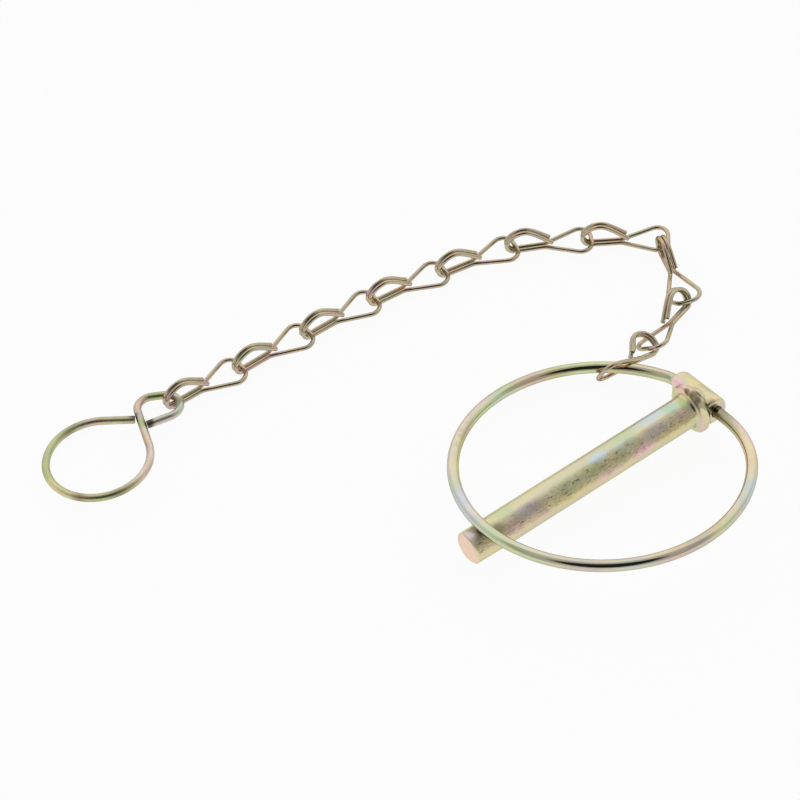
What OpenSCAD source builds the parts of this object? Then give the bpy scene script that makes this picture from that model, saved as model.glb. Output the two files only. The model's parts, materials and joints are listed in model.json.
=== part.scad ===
// Lynch pin with its spring ring, a chain of hooked wire links and a round end ring.
// It lies on the surface z = 0, and the shank's free end points along -X.

/* [Shank] */
// Diameter of the shank
shank_d = 10; // [8:0.5:12]
// Length of the shank, from its free end to the collar
shank_len = 79.5; // [70:0.5:95]
// Length of the lead-in taper at the free end
lead_len = 9.5; // [8.5:0.5:12]
// How much the lead-in takes off the radius
lead_drop = 0.15; // [0.05:0.05:0.4]
// Break on the edge of the free end
tip_break = 0.4; // [0.2:0.1:1]

/* [Head] */
// Diameter of the round collar
collar_d = 15; // [14:0.5:17]
// Thickness of the collar
collar_t = 2; // [1.5:0.1:3]
// Radius of the fillet between the shank and the collar
collar_fillet = 1.4; // [0.5:0.1:1.5]
// Thickness of the cross boss that holds the ring
boss_d = 9.2; // [8.4:0.2:11]
// Length of the boss from the shank's axis to its long end
boss_long = 10.4; // [8.4:0.2:12]
// Length of the boss from the shank's axis to its short end
boss_short = 6.2; // [5.6:0.1:7.5]
// Height of the boss's flat underside below the shank's axis
boss_under = 3.2; // [3:0.1:4.2]
// Distance from the shank's axis to the upright edge where the collar's side bevel starts
collar_side = 5.6; // [5.4:0.1:6.4]
// Depth of each hole for an end of the ring
ring_hole_depth = 5; // [4:0.5:5]

/* [Spring ring] */
// Outside diameter of the spring ring
ring_od = 86.6; // [80:0.2:94]
// Wire of the spring ring
ring_wire = 3.4; // [3:0.1:3.8]
// How far the ends of the ring are drawn in from its circle
ring_tuck = 2.8; // [2:0.1:4]
// How far the ring sits off the shank's axis, towards the short end of the boss
ring_offset = 2.3; // [1.5:0.1:3]
// Clearance around each end of the ring in its hole
ring_hole_gap = 0.2; // [0.1:0.05:0.3]
// Gap between the spring ring and what it rests on
ring_gap = 0.1; // [0.05:0.05:0.3]

/* [Chain link] */
// Wire of the links
link_wire = 1.6; // [1.3:0.05:1.7]
// Distance from one link to the next
link_pitch = 23.5; // [22:0.5:28]
// Radius of the hook's bend, at the middle of the wire
hook_r = 2.85; // [2.8:0.05:3.3]
// Gap between the two wires of the hook
hook_gap = 0.15; // [0.1:0.05:0.4]
// Width of the wide loop, at the middle of the wire
loop_w = 9.4; // [9:0.1:11]
// Radius of the loop's corners, at the middle of the wire
loop_corner_r = 2.6; // [2.2:0.1:3]
// Angle at which each side of the loop spreads
loop_spread = 22; // [18:1:28]
// How much shorter the last link is, the one on the spring ring
last_link_less = 4.5; // [3:0.5:5]

/* [End ring] */
// Diameter of the end ring, at the middle of the wire
end_ring_d = 29.8; // [26:0.2:36]
// Wire of the end ring
end_ring_wire = 2.3; // [2:0.1:2.4]
// Straight run from the circle to the eye that closes the ring
end_ring_lead = 14; // [13.5:0.5:17]
// Gap at each butted end of the wire
end_ring_butt = 0.1; // [0.05:0.05:0.3]

/* [Hidden] */

// Rigid moves as matrices, so that a place can be worked out before it is used
function move(v) = [[1, 0, 0, v.x], [0, 1, 0, v.y], [0, 0, 1, v.z], [0, 0, 0, 1]];
function roll(a) = [[1, 0, 0, 0], [0, cos(a), -sin(a), 0], [0, sin(a), cos(a), 0], [0, 0, 0, 1]];
function rise(a) = [[cos(a), 0, -sin(a), 0], [0, 1, 0, 0], [sin(a), 0, cos(a), 0], [0, 0, 0, 1]];
function head(a) = [[cos(a), -sin(a), 0, 0], [sin(a), cos(a), 0, 0], [0, 0, 1, 0], [0, 0, 0, 1]];
function at(m, p) = let (q = m * [p.x, p.y, p.z, 1]) [q.x, q.y, q.z];

// Wire run as a bender makes it: each bend is [straight run, roll of the wire, radius, angle].
// A ball that stands this much proud of the wire fuses each run to the next one.
weld = 0.01;
module weld_ball(d) {
    sphere(r = d / 2 + weld);
}
module bent_wire(d, bends, i = 0) {
    if (i < len(bends)) {
        run = bends[i][0];
        r = bends[i][2];
        a = bends[i][3];
        if (i > 0 && (run > 0 || a > 0)) weld_ball(d);
        if (run > 0) rotate([0, 90, 0]) cylinder(d = d, h = run);
        translate([run, 0, 0]) rotate([bends[i][1], 0, 0]) translate([0, r, 0]) {
            if (a > 0 && run > 0) translate([0, -r, 0]) weld_ball(d);
            if (a > 0) rotate([0, 0, -90]) rotate_extrude(angle = a) translate([r, 0]) circle(d = d);
            rotate([0, 0, a]) translate([0, -r, 0]) bent_wire(d, bends, i + 1);
        }
    }
}

// Pin. Its own frame has X along the shank from the free end, and Y towards the long end of the boss.
shank_r = shank_d / 2;
collar_r = collar_d / 2;
tip_r = shank_r - lead_drop;
neck_t = 0.9;
neck_r = collar_r - 1.1;
boss_flat_x = shank_len + collar_t + neck_t;
boss_set = 1.8;
pivot_set = 2.5;
pivot_x = boss_flat_x + pivot_set;
boss_round = 1.2;
ring_hole_r = ring_wire / 2 + ring_hole_gap;
collar_break = 0.4;
shoulder_len = 3.2;
notch_y = -1.5;
notch_w = 2.2;
collar_bevel = 40;

// The pin rests on the edge of its free end and on the collar, so its axis rises to the head
pin_rise = atan((collar_r - tip_r) / (shank_len + collar_break - tip_break));
pin_height = tip_r * cos(pin_rise) - tip_break * sin(pin_rise);

// Spring ring. Its own frame has its circle's middle at the origin and X towards the boss.
ring_r = (ring_od - ring_wire) / 2;
ring_end_x = ring_r - ring_tuck;
ring_swing = asin((shank_r + ring_wire / 2 + ring_gap) / (ring_r + ring_end_x));
ring_lead = 0.6;
long_side = boss_long + ring_lead + ring_offset;
short_side = boss_short - ring_offset + 3.3;
hole_end = ring_hole_depth - 0.4;

// Where the first link crosses the ring, as an angle from the boss
crossing = 44.5;
ring_in_pin = move([pivot_x, 0, 0]) * rise(-ring_swing) * move([-ring_end_x, -ring_offset, 0]);
crossing_lift = 0.82;
crossing_in_pin = at(ring_in_pin, ring_r * [cos(crossing), sin(crossing), 0]);

// The pin and the ring lean over until the ring lies on the link that it runs through
crossing_height = link_wire + ring_wire / 2 + ring_gap + crossing_lift;
lean_drop = (pin_height + crossing_in_pin.x * sin(pin_rise) - crossing_height) / cos(pin_rise);
lean = asin(lean_drop / norm([crossing_in_pin.y, crossing_in_pin.z]))
     + atan2(crossing_in_pin.z, crossing_in_pin.y);
footprint_middle = [23.4, 30.7];
pin_place = move([-footprint_middle.x, -footprint_middle.y, pin_height]) * rise(pin_rise) * roll(-lean);
ring_place = pin_place * ring_in_pin;

// Chain link. Its own frame has its origin in the hook's eye, X towards the wide loop
// and Z from the long legs to the tails that are hooked back over them.
link_gap = 0.2;
seat = (hook_r - link_wire - link_gap) / sqrt(2);
loop_x = -seat + sqrt(pow(link_pitch, 2) - pow(hook_r - seat, 2));
hook_y = (link_wire + hook_gap) / 2;
spread_r = 3;
tail_gap = 0.12;
tail_long = 11.8;
tail_step = 0.8;
corner_x = loop_x - loop_corner_r;
corner_y = loop_w / 2 - loop_corner_r;
side_drop = corner_y + loop_corner_r * cos(loop_spread) - hook_y - spread_r * (1 - cos(loop_spread));
side_run = side_drop / sin(loop_spread);
leg_run = corner_x - (loop_corner_r + spread_r) * sin(loop_spread) - side_run * cos(loop_spread);

// Angle that the hook turns through before its tail, which ends resting on the leg
function tail_end(x) = [x, link_wire + tail_gap - hook_r];
function hook_turn(x) =
    let (e = tail_end(x)) 270 - atan2(e.y, e.x) - acos(hook_r / norm(e));
function tail_run(x) = sqrt(pow(norm(tail_end(x)), 2) - pow(hook_r, 2));

// A point of the loop, s along it from the middle of its end bar; past the bar it is on a corner
function loop_point(s) =
    let (turn = max(0, abs(s) - corner_y) / loop_corner_r * 180 / PI, side = s < 0 ? -1 : 1)
    [corner_x + loop_corner_r * cos(turn),
     side * (min(abs(s), corner_y) + loop_corner_r * sin(turn)),
     -hook_r];

// How each link lies, from the end ring to the spring ring: [heading, rise, roll], then where in
// its hook the loop before it sits, and how far along its own loop the next hook holds it
LIES = -1;
links = [
    [-2.8, LIES, 0, [-seat, 0, -seat], 0],
    [-2.0, LIES, 0, [-seat, 0, -seat], 0],
    [-3.0, LIES, 0, [-seat, 0, -seat], 0],
    [-7.8, LIES, 0, [-seat, 0, -seat], 0],
    [-12.2, LIES, 0, [-seat, 0, -seat], 0],
    [-30.4, LIES, 0, [-0.3, 0, -seat], 0],
    [-38, LIES, 0, [-0.3, 0, -seat], -5.2],
    [-112.5, 6.9, 6, [0.4, 0, -0.5], -2],
    [-160.8, 8.5, 32.5, [0.88, 0, -0.48], -0.6],
    [-185.7, 6.9, 68.5, [0.82, 0, -0.35], 0]
];
LAST = len(links) - 1;
chain_cross_x = 12;
chain_cross_y = -0.6;

// A lying link rests on its hook, and its loop is lifted by the next hook that holds it
eye_height = hook_r + link_wire / 2;
function lying(z, x) = asin((z - eye_height) / norm([x, hook_r])) + atan2(hook_r, x);

// The last link is threaded on the spring ring, and each other one hangs in the next one's hook
function link_place(i) =
    let (
        l = links[i],
        held = i == LAST
            ? at(ring_place, ring_r * [cos(crossing), sin(crossing), 0])
            : at(link_place(i + 1), links[i + 1][3]),
        hold = i == LAST ? [chain_cross_x, chain_cross_y, -hook_r] : loop_point(l[4]),
        turn = head(l[0]) * rise(l[1] == LIES ? lying(held.z, hold.x) : l[1]) * roll(l[2])
    )
    move(held - at(turn, hold)) * turn;

// End ring. Its own frame has its circle's middle at the origin; the wire leaves the circle
// at angle 0, runs on along Y and closes in an eye, and both of its ends butt on that run.
end_r = end_ring_d / 2;
end_meet = 71;
eye_r = 4.4;
eye_turn = 102;
eye_run = 3.5;
held_r = 4.5;
held_turn = 161;
held_at = 46;
first_run = (end_r * (1 - cos(end_meet)) - end_ring_butt - (1 + cos(end_meet)) * end_ring_wire / 2)
          / sin(end_meet);
eye_way = 90 - eye_turn;
last_way = eye_way - held_turn;
function aside(a) = [sin(a), -cos(a)];
held_middle = [end_r + eye_r, end_ring_lead] + (held_r - eye_r) * aside(eye_way)
            + eye_run * [cos(eye_way), sin(eye_way)];
held_point = held_middle - held_r * aside(eye_way - held_at);
last_run = (held_middle.x - held_r * sin(last_way) - end_r - end_ring_butt
          - (1 - sin(last_way)) * end_ring_wire / 2) / -cos(last_way);

// The end ring rests on the surface with the low side of its circle, and the first link's hook
// holds its eye, so the rise follows from how far it is rolled
end_roll = -6;
end_heading = 9.9;
end_held = at(link_place(0), [0.6, 0, -0.3]);
end_reach = norm(held_point);
end_lift = end_held.z - end_ring_wire / 2;
end_spread = pow(end_reach, 2) - pow(end_r * cos(end_roll), 2);
end_rise = asin((end_lift * end_reach - sqrt(pow(end_lift * end_reach, 2)
         - end_spread * (pow(end_lift, 2) - pow(end_r * sin(end_roll), 2)))) / end_spread);
end_turn = head(end_heading) * rise(end_rise) * roll(end_roll)
         * head(-atan2(held_point.y, held_point.x));
end_place = move(end_held - at(end_turn, [held_point.x, held_point.y, 0])) * end_turn;

module link(less) {
    translate([loop_x - less, 0, -hook_r]) weld_ball(link_wire);
    for (side = [1, -1]) {
        tail_x = tail_long - less - (side > 0 ? 0 : tail_step);
        mirror([0, side > 0 ? 0 : 1, 0])
            translate([loop_x - less, 0, -hook_r]) rotate([0, 0, 90])
                bent_wire(link_wire, [
                    [corner_y, 0, loop_corner_r, 90 + loop_spread],
                    [side_run, 180, spread_r, loop_spread],
                    [leg_run - less, -90, hook_r, hook_turn(tail_x)],
                    [tail_run(tail_x), 0, 0, 0]
                ]);
    }
}

module chain_link(i) {
    $fn = 32;
    color([0.76, 0.69, 0.58]) multmatrix(link_place(i)) link(i == LAST ? last_link_less : 0);
}

module end_ring() {
    $fn = 36;
    color([0.62, 0.62, 0.42])
        multmatrix(end_place)
            translate([end_r * cos(end_meet) + first_run * sin(end_meet),
                       end_r * sin(end_meet) - first_run * cos(end_meet), 0])
                rotate([0, 0, end_meet + 90])
                    bent_wire(end_ring_wire, [
                        [first_run, 0, end_r, 360 - end_meet],
                        [end_ring_lead, 180, eye_r, eye_turn],
                        [eye_run, 0, held_r, held_turn],
                        [last_run, 0, 0, 0]
                    ]);
}

module spring_ring() {
    $fn = 48;
    long_turn = 2 * atan(ring_tuck / long_side);
    short_turn = 2 * atan(ring_tuck / short_side);
    in_long = boss_long - hole_end + ring_offset;
    in_short = boss_short - hole_end - ring_offset;
    color([0.66, 0.66, 0.50])
        multmatrix(ring_place)
            translate([ring_end_x, in_long, 0]) rotate([0, 0, 90])
                bent_wire(ring_wire, [
                    [long_side - in_long, 0, ring_r - long_side / sin(long_turn), long_turn],
                    [0, 0, ring_r, 360 - long_turn - short_turn],
                    [0, 0, ring_r - short_side / sin(short_turn), short_turn],
                    [short_side - in_short, 0, 0, 0]
                ]);
}

module shank_and_collar() {
    rotate([90, 0, 90]) rotate_extrude() polygon(concat(
        [[0, 0], [tip_r - tip_break, 0], [tip_r, tip_break], [shank_r, lead_len],
         [shank_r, shank_len - collar_fillet]],
        [for (a = [6:6:84])
            [shank_r + collar_fillet * (1 - cos(a)), shank_len - collar_fillet * (1 - sin(a))]],
        [[shank_r + collar_fillet, shank_len],
         [collar_r - collar_break, shank_len], [collar_r, shank_len + collar_break],
         [collar_r, shank_len + collar_t - collar_break],
         [collar_r - collar_break, shank_len + collar_t],
         [neck_r, shank_len + collar_t], [neck_r, boss_flat_x + 0.1], [0, boss_flat_x + 0.1]]
    ));
}

// The collar slopes back into the boss above its underside, apart from a notch,
// and its side at the short end of the boss is bevelled
module head_front() {
    difference() {
        union() {
            shank_and_collar();
            difference() {
                translate([shank_len + collar_t - 0.1, 0, 0]) rotate([0, 90, 0])
                    cylinder(r1 = collar_r - collar_break, r2 = boss_d / 2, h = shoulder_len);
                translate([shank_len, -2 * collar_r, -boss_under - 4 * collar_r]) cube(4 * collar_r);
                translate([shank_len + collar_t, notch_y - notch_w, 0])
                    cube([neck_t, notch_w, 2 * collar_r]);
            }
        }
        translate([shank_len, -collar_side, -2 * collar_r]) rotate([0, 0, -collar_bevel])
            translate([0, -collar_r, 0]) cube([collar_r, collar_r, 4 * collar_r]);
    }
}

// A round bar with rounded ends, flat in front and underneath
module boss() {
    length = boss_long + boss_short;
    edge_r = boss_d / 2 - boss_round;
    intersection() {
        translate([boss_flat_x + boss_set, boss_long, 0]) rotate([90, 0, 0])
            rotate_extrude() polygon(concat(
                [[0, 0]],
                [for (a = [0:15:90])
                    [edge_r + boss_round * sin(a), boss_round * (1 - cos(a))]],
                [for (a = [0:15:90])
                    [edge_r + boss_round * cos(a), length - boss_round * (1 - sin(a))]],
                [[0, length]]
            ));
        translate([boss_flat_x, -boss_short, -boss_under]) cube([2 * boss_d, length, 2 * boss_d]);
    }
}

module pin() {
    $fn = 72;
    color([0.80, 0.74, 0.56])
        multmatrix(pin_place) difference() {
            union() {
                head_front();
                boss();
            }
            for (side = [1, -1])
                translate([pivot_x, side > 0 ? boss_long : -boss_short, 0])
                    rotate([side * 90, 0, 0]) translate([0, 0, -0.01])
                        cylinder(r = ring_hole_r, h = ring_hole_depth + 0.01);
        }
}

pin();
spring_ring();
chain_link(0);  // link_01
chain_link(1);  // link_02
chain_link(2);  // link_03
chain_link(3);  // link_04
chain_link(4);  // link_05
chain_link(5);  // link_06
chain_link(6);  // link_07
chain_link(7);  // link_08
chain_link(8);  // link_09
chain_link(9);  // link_10
end_ring();
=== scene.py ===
import json
import math

import bpy
from mathutils import Matrix, Vector


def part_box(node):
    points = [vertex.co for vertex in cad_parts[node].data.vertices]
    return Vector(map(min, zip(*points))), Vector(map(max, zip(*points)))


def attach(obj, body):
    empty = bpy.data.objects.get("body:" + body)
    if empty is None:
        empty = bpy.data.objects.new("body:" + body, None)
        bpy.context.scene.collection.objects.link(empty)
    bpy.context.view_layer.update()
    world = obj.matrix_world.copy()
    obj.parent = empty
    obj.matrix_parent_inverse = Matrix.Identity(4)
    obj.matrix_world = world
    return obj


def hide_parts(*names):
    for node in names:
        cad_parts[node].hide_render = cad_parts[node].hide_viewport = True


# Lengths are in metres unless a note says millimetres, angles in degrees, and colours are linear.
mm = 0.001

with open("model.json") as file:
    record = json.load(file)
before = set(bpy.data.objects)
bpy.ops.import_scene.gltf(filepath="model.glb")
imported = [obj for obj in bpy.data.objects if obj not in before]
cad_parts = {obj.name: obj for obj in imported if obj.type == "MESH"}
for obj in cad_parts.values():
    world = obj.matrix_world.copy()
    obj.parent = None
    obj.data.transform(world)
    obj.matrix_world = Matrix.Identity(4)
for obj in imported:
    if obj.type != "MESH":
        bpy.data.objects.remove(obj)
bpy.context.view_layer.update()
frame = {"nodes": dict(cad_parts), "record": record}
print("frame loaded")


class Socket:
    # One output of a node, so that node maths reads as plain maths
    def __init__(self, tree, out):
        self.tree = tree
        self.out = out

    def maths(self, operation, other=None, flip=False):
        sides = [other, self] if flip else [self, other]
        return addNode(self.tree, "ShaderNodeMath", sides, operation=operation)

    def __add__(self, other):
        return self.maths("ADD", other)

    def __radd__(self, other):
        return self.maths("ADD", other, True)

    def __sub__(self, other):
        return self.maths("SUBTRACT", other)

    def __rsub__(self, other):
        return self.maths("SUBTRACT", other, True)

    def __mul__(self, other):
        return self.maths("MULTIPLY", other)

    def __rmul__(self, other):
        return self.maths("MULTIPLY", other, True)

    def __truediv__(self, other):
        return self.maths("DIVIDE", other)

    def __rtruediv__(self, other):
        return self.maths("DIVIDE", other, True)


# Makes a node: its settings first, then the values or links of its sockets
def addNode(tree, kind, inputs=(), out=0, stops=None, **settings):
    node = tree.nodes.new(kind)
    for name, value in settings.items():
        setattr(node, name, value)
    if stops:
        elements = node.color_ramp.elements
        elements.remove(elements[-1])
        for i, (place, colour) in enumerate(stops):
            element = elements[0] if i == 0 else elements.new(place)
            element.position = place
            element.color = (*colour, 1.0)
    pairs = inputs.items() if isinstance(inputs, dict) else enumerate(inputs)
    for key, value in pairs:
        if isinstance(value, Socket):
            tree.links.new(value.out, node.inputs[key])
        elif value is not None:
            node.inputs[key].default_value = value
    return Socket(tree, node.outputs[out]) if node.outputs else None


def span(tree, value, low, high, toLow=0.0, toHigh=1.0):
    return addNode(tree, "ShaderNodeMapRange", [value, low, high, toLow, toHigh])


# A Mix node's colours are its inputs 6 and 7, and its output 2
def mixColour(tree, factor, first, second):
    first, second = [(*c, 1.0) if isinstance(c, tuple) else c for c in (first, second)]
    return addNode(tree, "ShaderNodeMix", {0: factor, 6: first, 7: second}, out=2, data_type="RGBA")


def vectorMaths(tree, operation, *sides, out="Vector"):
    return addNode(tree, "ShaderNodeVectorMath", sides, out=out, operation=operation)


def vectorParts(tree, vector):
    node = addNode(tree, "ShaderNodeSeparateXYZ", [vector]).out.node
    return [Socket(tree, out) for out in node.outputs]


# A scale of three numbers stretches the noise
def noise(tree, where, scale, detail, roughness):
    if isinstance(scale, tuple):
        where = vectorMaths(tree, "MULTIPLY", where, scale)
        scale = 1.0
    return addNode(tree, "ShaderNodeTexNoise", {
        "Vector": where, "Scale": scale, "Detail": detail, "Roughness": roughness})


# A noise runs from 0 to 1: this makes it sway about 0
def sway(value, amount):
    return (value - 0.5) * amount


def newMaterial(name):
    material = bpy.data.materials.new(name)
    material.use_nodes = True
    material.node_tree.nodes.clear()
    return material, material.node_tree


# Colour, roughness and height vary over a metal, the rest is the same all over the piece
def finishMetal(tree, piece, colour, roughness, height):
    bump = addNode(tree, "ShaderNodeBump", {
        "Strength": piece["bumpStrength"], "Distance": piece["bumpDepth"], "Height": height})
    shader = addNode(tree, "ShaderNodeBsdfPrincipled", {
        "Metallic": 1.0, "Specular Tint": (*piece["edgeTint"], 1.0),
        "Base Color": colour, "Roughness": roughness, "Normal": bump})
    addNode(tree, "ShaderNodeOutputMaterial", [shader])


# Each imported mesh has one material
def dress(node, material):
    frame["nodes"][node].data.materials[0] = material


# Plating colours; plum, brown and umber also serve as painted shade and dark reflection
platingAndShade = {
    "straw": (0.74, 0.66, 0.42),
    "yellow": (0.76, 0.66, 0.33),
    "orange": (0.84, 0.64, 0.42),
    "paleGreen": (0.56, 0.64, 0.38),
    "green": (0.42, 0.52, 0.22),
    "olive": (0.48, 0.44, 0.24),
    "mint": (0.50, 0.64, 0.50),
    "blue": (0.56, 0.66, 0.72),
    "lilac": (0.60, 0.52, 0.56),
    "pink": (0.76, 0.55, 0.49),
    "rose": (0.88, 0.53, 0.63),
    "blush": (0.98, 0.72, 0.60),
    "sand": (0.90, 0.80, 0.54),
    "pinkWhite": (0.80, 0.67, 0.60),
    "pinkGrey": (0.60, 0.48, 0.44),
    "tan": (0.60, 0.46, 0.32),
    "brown": (0.27, 0.20, 0.12),
    "plum": (0.32, 0.17, 0.18),
    "umber": (0.13, 0.10, 0.06),
    "grey": (0.58, 0.56, 0.48),
}
filmOrder = ["straw", "pink", "straw", "paleGreen", "grey", "yellow", "pink", "lilac", "mint", "straw"]
stainFade = (1.25, 0.55)  # where a stain begins and where it is full, in half sizes from its middle


# The bands of colour in a yellow passivated plating, by the thickness of its film
def film(tree, thickness):
    last = len(filmOrder) - 1
    stops = [(i / last, platingAndShade[name]) for i, name in enumerate(filmOrder)]
    return addNode(tree, "ShaderNodeValToRGB", [thickness], stops=stops)


# Soft-edged stains on a piece, on the pin some of them painted shade, in millimetres: middle, half
# size, colour, strength
def stained(tree, colour, where, stains, wobble):
    for middle, size, name, strength in stains:
        middle = tuple(v * mm for v in middle)
        size = tuple(v * mm for v in size)
        away = vectorMaths(tree, "DIVIDE", vectorMaths(tree, "SUBTRACT", where, middle), size)
        distance = vectorMaths(tree, "LENGTH", away, out="Value") + wobble
        shown = span(tree, distance, *stainFade, 0.0, strength)
        colour = mixColour(tree, shown, colour, platingAndShade[name])
    return colour


pin = {
    "leadIn": 0.0095,  # from the tip to where the shank's mount begins
    "radius": 5.0,  # millimetres
    "edgeTint": (0.82, 0.78, 0.66),
    "bumpStrength": 0.6,
    "bumpDepth": 0.00005,
    # Noises: scale (one, or along, across and up), detail, roughness
    "broadNoise": ((26.0, 130.0, 130.0), 2.5, 0.55),
    "blotchNoise": (420.0, 3.0, 0.6),
    "grainNoise": ((900.0, 2400.0, 2400.0), 3.0, 0.65),
    "fleckNoise": ((480.0, 2500.0, 2500.0), 2.0, 0.65),
    # What the broad noise and the blotches do to the film and to the edges of the stains
    "filmParts": (0.9, 0.3),
    "wobbleParts": (0.7, 0.8),
    "calm": 0.45,  # how far plain straw covers the film
    # The worn and shaded side, real wear and grain with painted light and shade in its colour: its
    # angle round the shank as for the shank's stains, where it begins and ends along it, and the
    # cosines of the angle from its middle between which it fades in
    "wornAngle": -50.42,
    "wornShadeBegins": (0.0002, 0.0012),
    "wornShadeEnds": (0.0755, 0.0785),
    "wornShadeFade": (0.76, 0.93),
    "wornShadeSway": 0.25,
    "wornShadeSand": 0.6,
    "grainFade": (0.42, 0.58),
    "grainSway": 0.8,
    "grainColour": (0.36, 0.31, 0.19),
    "grainStrength": 0.36,
    "pitFade": (0.61, 0.66),
    "pitBand": (0.88, 0.97),  # cosines, like the worn band's fade
    "pitStrength": 0.8,
    "roughness": {"all": 0.22, "grain": 0.10, "worn": 0.24, "pits": 0.2},
    "height": {"grain": 0.2, "wornGrain": 0.5, "pits": 1.6},
    # Millimetres along the shank from its tip, angle round it from the top (positive away from the
    # short end of the boss), half length, half width, colour, strength
    "shankStainsAndShade": [
        (2.2, -10, 2.0, 2.4, "lilac", 0.8),
        # The brown and olive stains under the spring ring, near the tip, are painted shadow and dark
        # reflection of the ring
        (5.0, -8, 2.4, 3.4, "brown", 0.75),
        (8.5, -48, 2.5, 3.4, "olive", 0.9),
        (13.0, 8, 4.0, 2.4, "paleGreen", 0.9),
        (13.5, -64, 4.5, 2.4, "pink", 0.85),
        (19.5, -36, 5.0, 2.4, "lilac", 0.75),
        (23.0, -80, 5.0, 1.6, "pink", 0.6),
        (27.0, 20, 14.0, 1.8, "straw", 0.6),
        (33.0, -74, 8.0, 1.8, "yellow", 0.85),
        (34.0, -38, 6.0, 2.8, "paleGreen", 0.6),
        (43.5, -38, 4.5, 3.0, "green", 0.45),
        (46.0, -10, 3.4, 1.7, "blue", 0.8),
        (47.5, -78, 6.5, 1.6, "pink", 0.9),
        (51.5, -56, 4.5, 2.6, "green", 0.4),
        (55.0, -22, 4.5, 2.0, "mint", 0.6),
        (57.0, 16, 5.0, 2.4, "paleGreen", 0.8),
        (59.5, -70, 5.0, 1.8, "rose", 0.7),
        (65.0, -42, 5.0, 2.6, "lilac", 0.6),
        (67.0, 16, 7.0, 2.6, "blue", 0.9),
        (73.5, 4, 3.6, 2.4, "mint", 1.0),
        (77.3, -14, 1.5, 3.4, "green", 0.8),
        (75.0, -46, 3.0, 2.0, "pink", 0.7),
        (71.0, -74, 8.0, 2.0, "yellow", 0.8),
    ],
    # Millimetres in the pin's own frame: middle, half size, colour, strength
    "headStainsAndShade": [
        ((0.0, 0.0, 0.0), (0.35, 6.0, 6.0), "blush", 0.95),
        ((86.4, 0.6, 3.8), (1.6, 2.6, 1.6), "olive", 0.45),
        ((87.0, -2.4, 3.4), (1.2, 2.0, 2.2), "pinkGrey", 0.5),
        ((85.7, 5.0, 4.3), (1.8, 2.4, 1.4), "yellow", 0.6),
        ((86.0, -4.9, 4.2), (1.6, 1.2, 1.4), "orange", 0.6),
        ((87.2, -6.2, 1.2), (1.6, 1.0, 2.6), "lilac", 0.6),
        ((82.6, -4.6, 4.6), (1.3, 1.3, 1.4), "olive", 0.8),
        ((84.2, -5.2, 4.0), (0.9, 1.2, 1.4), "tan", 0.9),
        ((82.2, 9.0, 1.0), (0.9, 3.4, 2.0), "pinkWhite", 0.7),
        ((82.0, 7.6, 4.0), (1.2, 3.4, 2.6), "rose", 0.85),
        ((80.8, 4.6, 6.2), (2.2, 3.6, 2.2), "rose", 0.95),
        # The plum, brown and two umber marks at the collar's top rim are painted shade and dark
        # reflection in the gap behind the collar
        ((79.6, 0.2, 7.1), (1.0, 1.2, 1.4), "plum", 0.95),
        ((80.2, -1.9, 7.0), (1.3, 1.5, 1.4), "brown", 0.95),
        ((80.2, -3.9, 6.2), (0.9, 1.3, 1.6), "umber", 0.8),
        ((79.0, -3.0, 4.4), (0.8, 2.2, 1.6), "pinkGrey", 0.7),
        ((81.6, -2.2, 6.2), (0.8, 1.7, 1.0), "umber", 1.0),
        ((80.3, -5.4, 3.6), (0.6, 1.2, 2.6), "straw", 0.8),
        ((79.3, -5.6, 2.0), (0.6, 1.2, 1.6), "tan", 0.6),
        ((79.6, -5.8, -2.0), (1.2, 1.6, 2.6), "pink", 0.7),
        ((77.4, -5.0, -0.4), (1.6, 1.0, 1.6), "paleGreen", 0.9),
        ((80.8, -6.4, 0.6), (1.0, 1.0, 2.4), "yellow", 0.6),
    ],
}


# The pin's own frame: X along the shank from its tip, Y towards the long end of the boss
def pinMatrix():
    record = frame["record"]
    mount = next(m for m in record["mounts"] if m["name"] == "shank")
    hinge = next(j for j in record["behaviour"]["joints"] if j["name"] == "ring_hinge")
    along = -Vector(mount["axis"]).normalized()
    across = Vector(hinge["axis"]).normalized()
    if across.y < 0:
        across.negate()
    up = along.cross(across).normalized()
    across = up.cross(along)
    half = mount["dims"]["length_mm"] * mm / 2
    tip = Vector(mount["pos_m"]) - along * (pin["leadIn"] + half)
    return Matrix.Translation(tip) @ Matrix((along, across, up)).transposed().to_4x4()


# A point in a piece's own frame, from the frame's matrix
def ownFrame(tree, matrix):
    where = addNode(tree, "ShaderNodeTexCoord", out="Object")
    inverse = matrix.inverted()
    return addNode(tree, "ShaderNodeMapping", [
        where, tuple(inverse.to_translation()), tuple(inverse.to_euler("XYZ")), (1, 1, 1)])


# The stains of the shank and of the head, painted shade among them, all in the pin's own frame
def pinStainsAndShade():
    stains = list(pin["headStainsAndShade"])
    for along, angle, halfLength, halfWidth, name, strength in pin["shankStainsAndShade"]:
        turn = math.radians(angle)
        middle = (along, pin["radius"] * math.sin(turn), pin["radius"] * math.cos(turn))
        stains.append((middle, (halfLength, halfWidth, halfWidth), name, strength))
    return stains


# How worn and shaded, and how pitted, the shank is, from 0 to 1: the worn band carries painted light
# and shade as well as wear
def shankWearAndShade(tree, where, blotch):
    x, y, z = vectorParts(tree, where)
    facing = (y.maths("ARCTAN2", z) - math.radians(pin["wornAngle"])).maths("COSINE")
    onShank = span(tree, x, *pin["wornShadeBegins"]) * span(tree, x, *pin["wornShadeEnds"], 1.0, 0.0)
    worn = span(tree, facing + sway(blotch, pin["wornShadeSway"]), *pin["wornShadeFade"]) * onShank
    flecks = noise(tree, where, *pin["fleckNoise"])
    pits = span(tree, flecks, *pin["pitFade"]) * span(tree, facing, *pin["pitBand"]) * onShank
    return worn, pits


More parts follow.
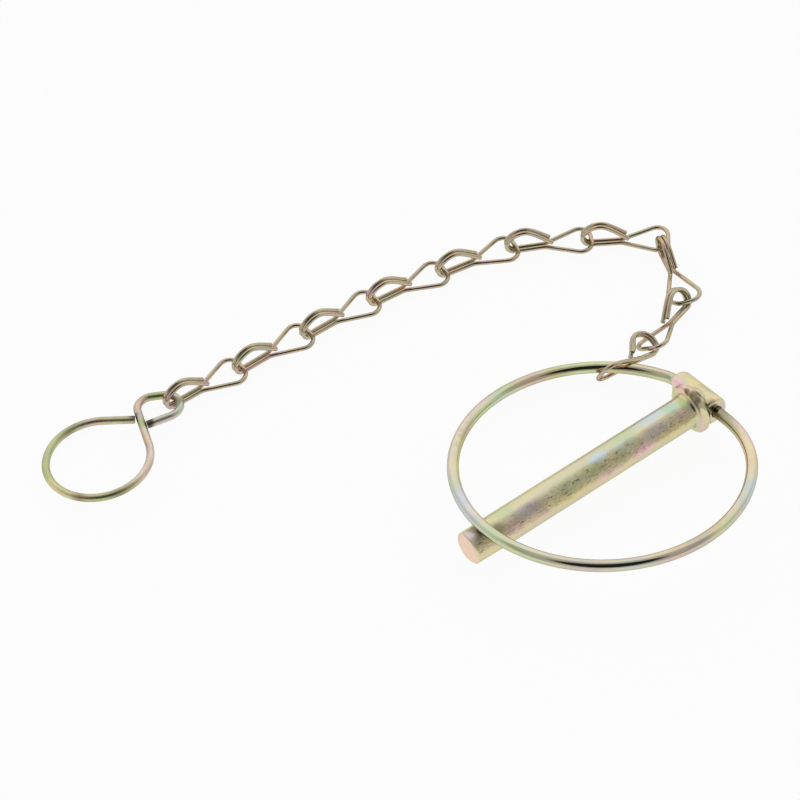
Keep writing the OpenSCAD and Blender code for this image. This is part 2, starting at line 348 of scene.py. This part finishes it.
def pinSteel():
    material, tree = newMaterial("pinPlating")
    where = ownFrame(tree, pinMatrix())
    broad = noise(tree, where, *pin["broadNoise"])
    blotch = noise(tree, where, *pin["blotchNoise"])
    grain = noise(tree, where, *pin["grainNoise"])
    worn, pits = shankWearAndShade(tree, where, blotch)
    byBroad, byBlotch = pin["filmParts"]
    colour = film(tree, broad * byBroad + sway(blotch, byBlotch))
    colour = mixColour(tree, pin["calm"], colour, platingAndShade["straw"])
    # The worn band's sand colour and darker grain paint light and shade on one side of the shank,
    # besides its wear
    colour = mixColour(tree, worn * pin["wornShadeSand"], colour, platingAndShade["sand"])
    byBroad, byBlotch = pin["wobbleParts"]
    wobble = sway(broad, byBroad) + sway(blotch, byBlotch)
    colour = stained(tree, colour, where, pinStainsAndShade(), wobble)
    dull = worn * span(tree, grain + sway(blotch, pin["grainSway"]), *pin["grainFade"])
    colour = mixColour(tree, dull * pin["grainStrength"], colour, pin["grainColour"])
    colour = mixColour(tree, pits * pin["pitStrength"], colour, platingAndShade["umber"])
    share = pin["roughness"]
    roughness = grain * share["grain"] + worn * share["worn"] + pits * share["pits"] + share["all"]
    share = pin["height"]
    height = grain * (worn * share["wornGrain"] + share["grain"]) - pits * share["pits"]
    finishMetal(tree, pin, colour, roughness, height)
    return material


dress("pin", pinSteel())
print("pin plated")


# What the plating of all the wires shares
wirePlating = {
    "smallScale": 9.0,  # how much finer the small noise is than the broad one
    "scuffScale": 1500.0,
    "scuffFade": (0.35, 0.75),
    # Detail and roughness of the noises
    "broadNoise": (2.0, 0.5),
    "smallNoise": (2.0, 0.6),
    "scuffNoise": (3.0, 0.6),
    # What the broad noise and the small one do to the film and to the edges of the stains
    "filmParts": (1.5, 0.4),
    "filmStart": -0.25,
    "wobbleParts": (0.6, 0.5),
    "turnSway": 0.035,  # how far the stretches of a ring shift, in turns
    "sideFade": 0.3,  # from a ring's middle line to its full outside or inside, in wires
    "sideSway": 3.0,  # in side fades
}
# Roughness goes from the smooth places to the scuffed ones.
# Stretches run round a ring from +X: degrees, colour on the outside, colour on the inside.
# Stains are in millimetres in the frame of the whole part: middle, half size, colour, strength.
springRing = {
    "wire": 3.4,  # millimetres
    "noise": 55.0,
    "filmShare": 0.3,
    "roughness": (0.055, 0.175),
    "edgeTint": (0.60, 0.58, 0.50),
    "bumpStrength": 0.3,
    "bumpDepth": 0.000012,
    "stretches": [
        (3, "green", "olive"), (12, "paleGreen", "green"), (24, "pinkGrey", "paleGreen"),
        (33, "straw", "green"), (43, "straw", "olive"), (58, "paleGreen", "paleGreen"),
        (68, "paleGreen", "olive"), (83, "pinkGrey", "tan"), (93, "green", "mint"),
        (104, "rose", "paleGreen"), (123, "pinkWhite", "olive"), (143, "pinkWhite", "yellow"),
        (155, "mint", "grey"), (163, "blue", "blue"), (172, "blue", "pinkWhite"),
        (184, "paleGreen", "paleGreen"), (203, "paleGreen", "pinkWhite"), (223, "pinkGrey", "grey"),
        (243, "mint", "grey"), (256, "pinkGrey", "straw"), (268, "pinkGrey", "tan"),
        (283, "paleGreen", "tan"), (293, "grey", "pinkWhite"), (303, "blue", "grey"),
        (323, "yellow", "orange"), (333, "pinkWhite", "straw"), (341, "rose", "olive"),
        # The brown and umber insides of the last two stretches, next to the head, are painted shade
        # and dark reflection
        (349, "tan", "brown"), (356, "tan", "umber"),
    ],
}
endRing = {
    "wire": 2.3,  # millimetres
    "noise": 90.0,
    "filmShare": 0.3,
    "roughness": (0.30, 0.42),
    "edgeTint": (0.60, 0.58, 0.50),
    "bumpStrength": 0.3,
    "bumpDepth": 0.00002,
    "stretches": [
        (6, "pinkGrey", "olive"), (28, "olive", "straw"), (52, "olive", "tan"),
        (66, "tan", "pinkGrey"), (80, "brown", "olive"), (90, "green", "brown"),
        (104, "green", "olive"), (118, "paleGreen", "green"), (142, "green", "green"),
        (160, "green", "olive"), (178, "yellow", "green"), (205, "yellow", "olive"),
        (217, "brown", "brown"), (228, "olive", "green"), (243, "green", "olive"),
        (258, "brown", "olive"), (272, "olive", "pinkGrey"), (288, "pink", "pinkWhite"),
        (305, "pinkGrey", "pink"), (322, "pinkWhite", "pinkGrey"), (345, "pinkWhite", "tan"),
    ],
    "stains": [
        ((-66.9, 65.6, 3.2), (2.4, 2.4, 3.0), "lilac", 0.7),
        ((-67.6, 61.6, 3.2), (2.0, 2.4, 3.0), "green", 0.8),
        ((-64.1, 68.2, 3.5), (2.6, 2.2, 3.0), "pink", 0.7),
        ((-59.8, 68.3, 4.0), (3.0, 2.2, 3.0), "green", 0.7),
        ((-56.1, 60.6, 4.0), (3.2, 4.0, 3.0), "mint", 0.6),
        ((-61.5, 59.3, 4.0), (3.6, 2.0, 3.0), "grey", 0.7),
        ((-68.6, 66.0, 2.5), (1.5, 1.5, 3.0), "umber", 1.0),
        ((-66.6, 60.9, 3.5), (1.5, 1.5, 3.0), "umber", 1.0),
    ],
}


# The middle and radius of a ring that lies almost flat, from its box
def ringCircle(node, thickness):
    low, high = [Vector(corner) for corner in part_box(node)]
    half = (high.y - low.y) / 2
    return Vector((low.x + half, low.y + half)), half - thickness / 2


# One side of a ring's stretches as a ramp over a turn that closes without a seam
def roundRamp(tree, turn, stretches, column):
    stops = [(row[0] / 360, platingAndShade[row[column]]) for row in stretches]
    seam = tuple((first + last) / 2 for first, last in zip(stops[0][1], stops[-1][1]))
    return addNode(tree, "ShaderNodeValToRGB", [turn], stops=[(0.0, seam)] + stops + [(1.0, seam)])


# The colours of a ring along its wire, and from its inside to its outside
def ringColour(tree, where, node, wire, broad, small):
    thickness = wire["wire"] * mm
    middle, radius = ringCircle(node, thickness)
    x, y = vectorParts(tree, where)[:2]
    across = x - middle.x
    along = y - middle.y
    turn = along.maths("ARCTAN2", across) / math.tau
    turn = (turn + sway(broad, wirePlating["turnSway"])).maths("FRACT")
    outside, inside = [roundRamp(tree, turn, wire["stretches"], column) for column in (1, 2)]
    reach = (across * across + along * along).maths("SQRT")
    edge = thickness * wirePlating["sideFade"]
    side = span(tree, reach - radius + sway(small, wirePlating["sideSway"] * edge), -edge, edge)
    return mixColour(tree, side, inside, outside)


# The plating of a wire: a ring has its own stretches of colour, and a link one tint
def wireSteel(name, wire, shift=(0, 0, 0), ring=None):
    material, tree = newMaterial(name)
    where = addNode(tree, "ShaderNodeTexCoord", out="Object")
    moved = vectorMaths(tree, "ADD", where, shift)
    finer = wire["noise"] * wirePlating["smallScale"]
    broad = noise(tree, moved, wire["noise"], *wirePlating["broadNoise"])
    small = noise(tree, moved, finer, *wirePlating["smallNoise"])
    scuff = noise(tree, moved, wirePlating["scuffScale"], *wirePlating["scuffNoise"])
    byBroad, bySmall = wirePlating["filmParts"]
    colour = film(tree, broad * byBroad + sway(small, bySmall) + wirePlating["filmStart"])
    under = ringColour(tree, where, ring, wire, broad, small) if ring else wire["tint"]
    colour = mixColour(tree, wire["filmShare"], under, colour)
    byBroad, bySmall = wirePlating["wobbleParts"]
    wobble = sway(broad, byBroad) + sway(small, bySmall)
    colour = stained(tree, colour, where, wire.get("stains", []), wobble)
    roughness = span(tree, scuff, *wirePlating["scuffFade"], *wire["roughness"])
    finishMetal(tree, wire, colour, roughness, scuff)
    return material


dress("spring_ring", wireSteel("springRingPlating", springRing, ring="spring_ring"))
dress("end_ring", wireSteel("endRingPlating", endRing, ring="end_ring"))
print("rings plated")


# A chain link is one wire: a wide loop, two long legs, and a hook whose two tails arch back over
# the legs. Its own frame has X from the hook's eye to the loop and Z from the legs to the tails.
chainWire = {
    "count": 10,
    "wire": 1.3,  # millimetres, as are all the lengths down to the end of the lies
    "floor": -3.61,  # the wire's underside below the hook
    "hookRadius": 2.5,
    "hookBack": -0.2,
    "legSide": 0.67,
    "loopPast": 0.1,  # how far the loop's end is beyond the place that holds the next wire
    "loopWidth": 9.4,
    "loopDrop": 0.3,  # how much lower the loop's end is
    "cornerRadius": 3.3,
    "waistRadius": 5.0,
    "spread": 22,  # degrees between a leg and the side of the loop
    "tailPeak": (2.8, 4.2),
    "tailEnds": ((10.3, 0.75, -0.5), (11.0, -0.9, -1.4)),
    "tailSlope": 35,  # degrees down at the tails' ends
    # How far the tail's bends are pulled: out of the hook, before and after the peak, into the end
    "pulls": (2.6, 2.6, 2.4, 2.5),
    "lastShorter": 4.5,  # how much shorter the last link is
    "peakShare": 0.3,  # how much of that the peak of its tails moves
    "bendSteps": 10,
    "waistSteps": 6,
    "bevelSteps": 8,
    # How a link lies: its roll in degrees, where the wire before it sits in its hook (x and z),
    # and where its loop holds the next one (x, y and z)
    "lie": {"roll": 0, "seat": (-0.742, -0.742), "hold": (22.663, 0, -2.85)},
    "otherLies": {
        1: {"seat": (0.6, -0.3)},
        6: {"seat": (-0.3, -0.742)},
        7: {"seat": (-0.3, -0.742), "hold": (21.024, -4.516, -2.85)},
        8: {"roll": 6, "seat": (0.4, -0.5), "hold": (22.663, -2, -2.85)},
        9: {"roll": 32.5, "seat": (0.88, -0.48), "hold": (22.663, -0.6, -2.85)},
        10: {"roll": 68.5, "seat": (0.82, -0.35), "hold": (12, -0.6, -2.85)},
    },
    "noise": 170.0,
    "noiseShift": (0.37, 0.21, 0.13),  # from one link to the next
    "filmShare": 0.5,
    "tint": (0.44, 0.32, 0.24),
    "roughness": (0.17, 0.29),
    "edgeTint": (0.42, 0.36, 0.30),
    "bumpStrength": 0.3,
    "bumpDepth": 0.00002,
}


def jointPlace(name):
    joint = next(j for j in frame["record"]["behaviour"]["joints"] if j["name"] == name)
    return Vector(joint["pos_m"])


# A link's own frame, from the two joints that hold it and how far it is rolled
def linkMatrix(i):
    lie = {**chainWire["lie"], **chainWire["otherLies"].get(i, {})}
    sits = jointPlace("link_%02d_swing" % (i - 1) if i > 1 else "end_ring_swing")
    run = jointPlace("link_%02d_swing" % i) - sits
    seatX, seatZ = lie["seat"]
    seat = Vector((seatX, 0, seatZ)) * mm
    hold = Vector(lie["hold"]) * mm
    rolled = Matrix.Rotation(math.radians(lie["roll"]), 3, "X")
    own = rolled @ (hold - seat)
    rise = math.asin(run.z / math.hypot(own.x, own.z)) - math.atan2(own.z, own.x)
    risen = Matrix.Rotation(-rise, 3, "Y")
    flat = risen @ own
    heading = math.atan2(run.y, run.x) - math.atan2(flat.y, flat.x)
    turn = Matrix.Rotation(heading, 3, "Z") @ risen @ rolled
    return Matrix.Translation(sits - turn @ seat) @ turn.to_4x4()


def arc(middle, radius, start, end, steps):
    angles = [math.radians(start + (end - start) * n / steps) for n in range(steps + 1)]
    return [(middle[0] + radius * math.cos(a), middle[1] + radius * math.sin(a)) for a in angles]


# A smooth bend after its start, from the start, the two points that pull it and the end
def bend(*pulls, steps):
    points = []
    for n in range(1, steps + 1):
        t = n / steps
        weights = ((1 - t) ** 3, 3 * t * (1 - t) ** 2, 3 * t * t * (1 - t), t ** 3)
        points.append(tuple(sum(w * p[k] for w, p in zip(weights, pulls)) for k in (0, 1)))
    return points


# Half of the loop and a leg from above, from the middle of the loop's end
def loopPlan(loopX):
    c = chainWire
    corner = c["cornerRadius"]
    waist = c["waistRadius"]
    spread = math.radians(c["spread"])
    cornerX = loopX - corner
    cornerY = c["loopWidth"] / 2 - corner
    drop = cornerY + corner * math.cos(spread) - c["legSide"] - waist * (1 - math.cos(spread))
    legX = cornerX - (corner + waist) * math.sin(spread) - drop / math.tan(spread)
    turned = arc((cornerX, cornerY), corner, 0, 90 + c["spread"], c["bendSteps"])
    narrowed = arc((legX, c["legSide"] + waist), waist, c["spread"] - 90, -90, c["waistSteps"])
    return [(loopX, 0)] + turned + narrowed


# The hook with its rise to the peak, and the tail after it, from the side
def hookAndTail(low, endX, endZ, shorter):
    c = chainWire
    steps = c["bendSteps"]
    outOfHook, beforePeak, afterPeak, intoEnd = c["pulls"]
    peakX, peakZ = c["tailPeak"]
    peakX -= shorter * c["peakShare"]
    slope = math.radians(c["tailSlope"])
    hook = arc((c["hookBack"], low + c["hookRadius"]), c["hookRadius"], 270, 180, steps)
    backX, backZ = hook[-1]
    hook += bend(hook[-1], (backX, backZ + outOfHook), (peakX - beforePeak, peakZ),
                 (peakX, peakZ), steps=steps)
    lastPull = (endX - intoEnd * math.cos(slope), endZ + intoEnd * math.sin(slope))
    tail = bend((peakX, peakZ), (peakX + afterPeak, peakZ), lastPull, (endX, endZ), steps=steps)
    return hook, tail


# Half of a link's wire, from the middle of the loop's end to the tip of one tail
def linkHalf(side, shorter):
    c = chainWire
    low = c["floor"] + c["wire"] / 2
    loopX = c["lie"]["hold"][0] + c["loopPast"] - shorter
    endX, endY, endZ = c["tailEnds"][0 if side > 0 else 1]
    hook, tail = hookAndTail(low, endX - shorter, endZ, shorter)
    legY = side * c["legSide"]
    points = [(x, side * y, low - c["loopDrop"] * max(0, x) / loopX) for x, y in loopPlan(loopX)]
    points += [(x, legY, z) for x, z in hook]
    for n, (x, z) in enumerate(tail, 1):
        points.append((x, legY + (endY - legY) * (n / len(tail)) ** 2, z))
    return [Vector(p) * mm for p in points]


# Draws a link as one round wire, which takes the place of the plain solid one
def makeLink(i):
    shorter = chainWire["lastShorter"] if i == chainWire["count"] else 0
    path = linkHalf(1, shorter)[::-1] + linkHalf(-1, shorter)[1:]
    place = linkMatrix(i)
    curve = bpy.data.curves.new("linkWire%02d" % i, "CURVE")
    curve.dimensions = "3D"
    curve.bevel_depth = chainWire["wire"] * mm / 2
    curve.bevel_resolution = chainWire["bevelSteps"]
    curve.use_fill_caps = True
    spline = curve.splines.new("POLY")
    spline.points.add(len(path) - 1)
    for point, p in zip(spline.points, path):
        point.co = (*(place @ p), 1.0)
    link = bpy.data.objects.new("link_wire_%02d" % i, curve)
    bpy.context.scene.collection.objects.link(link)
    shift = tuple(v * i for v in chainWire["noiseShift"])
    curve.materials.append(wireSteel("linkPlating%02d" % i, chainWire, shift))
    node = "link_%02d" % i
    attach(link, node)
    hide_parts(node)


for i in range(1, chainWire["count"] + 1):
    makeLink(i)
print("chain links drawn")

camera = {
    "target": (-0.002655, 0.027088, 0.0),
    "heading": 37.364,
    "elevation": 48.91,
    "distance": 0.9206,
    "lens": 144.0,  # millimetres, as the sensor's width is
    "sensor": 36.0,
    "clip": (0.05, 20.0),
}
studio = {
    # Degrees from the middle of the camera's opening, brightness of the tent
    "tent": [(28, 0.02), (38, 0.6), (58, 0.6), (68, 1.06)],
    # Towards the two sides: how far across the dimming begins and is full, and what it leaves
    "sides": (0.5, 0.95, 0.7),
    "floorColour": 0.97,
    "floorRoughness": 0.9,
    "floorShine": 0.1,
    "floorGlow": 0.94,
    "floorHalf": 4.0,
    "floorDrop": 0.00005,
}


# A point of the unit sphere, by heading from -Y and elevation
def direction(heading, elevation):
    a = math.radians(-heading)
    e = math.radians(elevation)
    return Vector((math.sin(a) * math.cos(e), -math.cos(a) * math.cos(e), math.sin(e)))


def lightPath(tree, ray):
    return addNode(tree, "ShaderNodeLightPath", out=ray)


# A light tent, bright low down and all round, with a dark opening for the camera. The camera
# itself sees the same pale ground there as on the floor.
def makeTent():
    world = bpy.data.worlds.new("tent")
    bpy.context.scene.world = world
    world.use_nodes = True
    tree = world.node_tree
    tree.nodes.clear()
    where = vectorMaths(tree, "NORMALIZE", addNode(tree, "ShaderNodeTexCoord", out="Generated"))
    opening = tuple(direction(camera["heading"], camera["elevation"]))
    away = vectorMaths(tree, "DOT_PRODUCT", where, opening, out="Value").maths("ARCCOSINE")
    stops = [(angle / 180, (level,) * 3) for angle, level in studio["tent"]]
    glow = addNode(tree, "ShaderNodeValToRGB", [away / math.pi], stops=stops)
    turn = math.radians(-camera["heading"])
    sideways = (math.cos(turn), math.sin(turn), 0.0)
    across = vectorMaths(tree, "DOT_PRODUCT", where, sideways, out="Value").maths("ABSOLUTE")
    start, end, level = studio["sides"]
    glow = mixColour(tree, span(tree, across, start, end, 0.0, 1.0 - level), glow, (0.0, 0.0, 0.0))
    glow = mixColour(tree, lightPath(tree, "Is Camera Ray"), glow, (studio["floorGlow"],) * 3)
    background = addNode(tree, "ShaderNodeBackground", [glow])
    addNode(tree, "ShaderNodeOutputWorld", [background])


# Paper that is lit and shaded as paper, and that the camera and the metal see as a pale ground
def floorPaper():
    material, tree = newMaterial("floorPaper")
    plain = addNode(tree, "ShaderNodeBsdfPrincipled", {
        "Base Color": (studio["floorColour"],) * 3 + (1.0,),
        "Roughness": studio["floorRoughness"], "Specular IOR Level": studio["floorShine"]})
    white = addNode(tree, "ShaderNodeEmission", [(1, 1, 1, 1), 1.0])
    seen = lightPath(tree, "Is Camera Ray")
    for ray in ("Is Glossy Ray", "Is Transmission Ray"):
        seen = seen.maths("MAXIMUM", lightPath(tree, ray))
    mix = addNode(tree, "ShaderNodeMixShader", [seen * studio["floorGlow"], plain, white])
    addNode(tree, "ShaderNodeOutputMaterial", [mix])
    return material


def makeFloor():
    half = studio["floorHalf"]
    mesh = bpy.data.meshes.new("floor")
    corners = [(-half, -half, 0), (half, -half, 0), (half, half, 0), (-half, half, 0)]
    mesh.from_pydata(corners, [], [(0, 1, 2, 3)])
    mesh.materials.append(floorPaper())
    floor = bpy.data.objects.new("floor", mesh)
    bpy.context.scene.collection.objects.link(floor)
    floor.location.z = -studio["floorDrop"]


def makeCamera():
    data = bpy.data.cameras.new("camera")
    data.lens = camera["lens"]
    data.sensor_width = camera["sensor"]
    data.clip_start, data.clip_end = camera["clip"]
    eye = bpy.data.objects.new("camera", data)
    bpy.context.scene.collection.objects.link(eye)
    target = Vector(camera["target"])
    eye.location = target + direction(camera["heading"], camera["elevation"]) * camera["distance"]
    eye.rotation_euler = (eye.location - target).to_track_quat("Z", "Y").to_euler()
    bpy.context.scene.camera = eye


makeTent()
makeFloor()
makeCamera()
bpy.context.scene.view_settings.view_transform = "Standard"
print("studio made")
